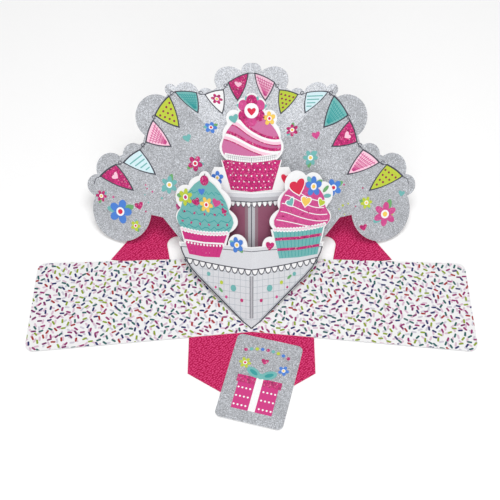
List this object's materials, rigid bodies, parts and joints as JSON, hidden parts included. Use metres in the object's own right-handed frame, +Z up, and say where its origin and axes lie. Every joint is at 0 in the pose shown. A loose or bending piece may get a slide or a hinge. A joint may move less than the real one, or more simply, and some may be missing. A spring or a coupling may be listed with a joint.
{
  "type": "pop-up card",
  "caption": "Pop-up greeting card lying open: printed wings on a pink cover, folded cake tiers and a scalloped silver fan standing at a slant, with a loose message tag.",
  "frame": {"origin": "on the underside, on the fold line, below the front point of the front tier", "axes": "+X along the wings, +Y along the fold line towards the back, +Z up"},
  "size_m": [0.3132, 0.2589, 0.1096],
  "materials": {
    "pink_card": "matte",
    "white_card": "matte",
    "silver_card": "satin"
  },
  "bodies": {
    "root": {"cover": "pink_card", "floor_sheet": "white_card", "front_tier": "white_card", "upper_tier": "white_card", "fan": "silver_card", "message_tag": "silver_card"}
  },
  "joints": []
}
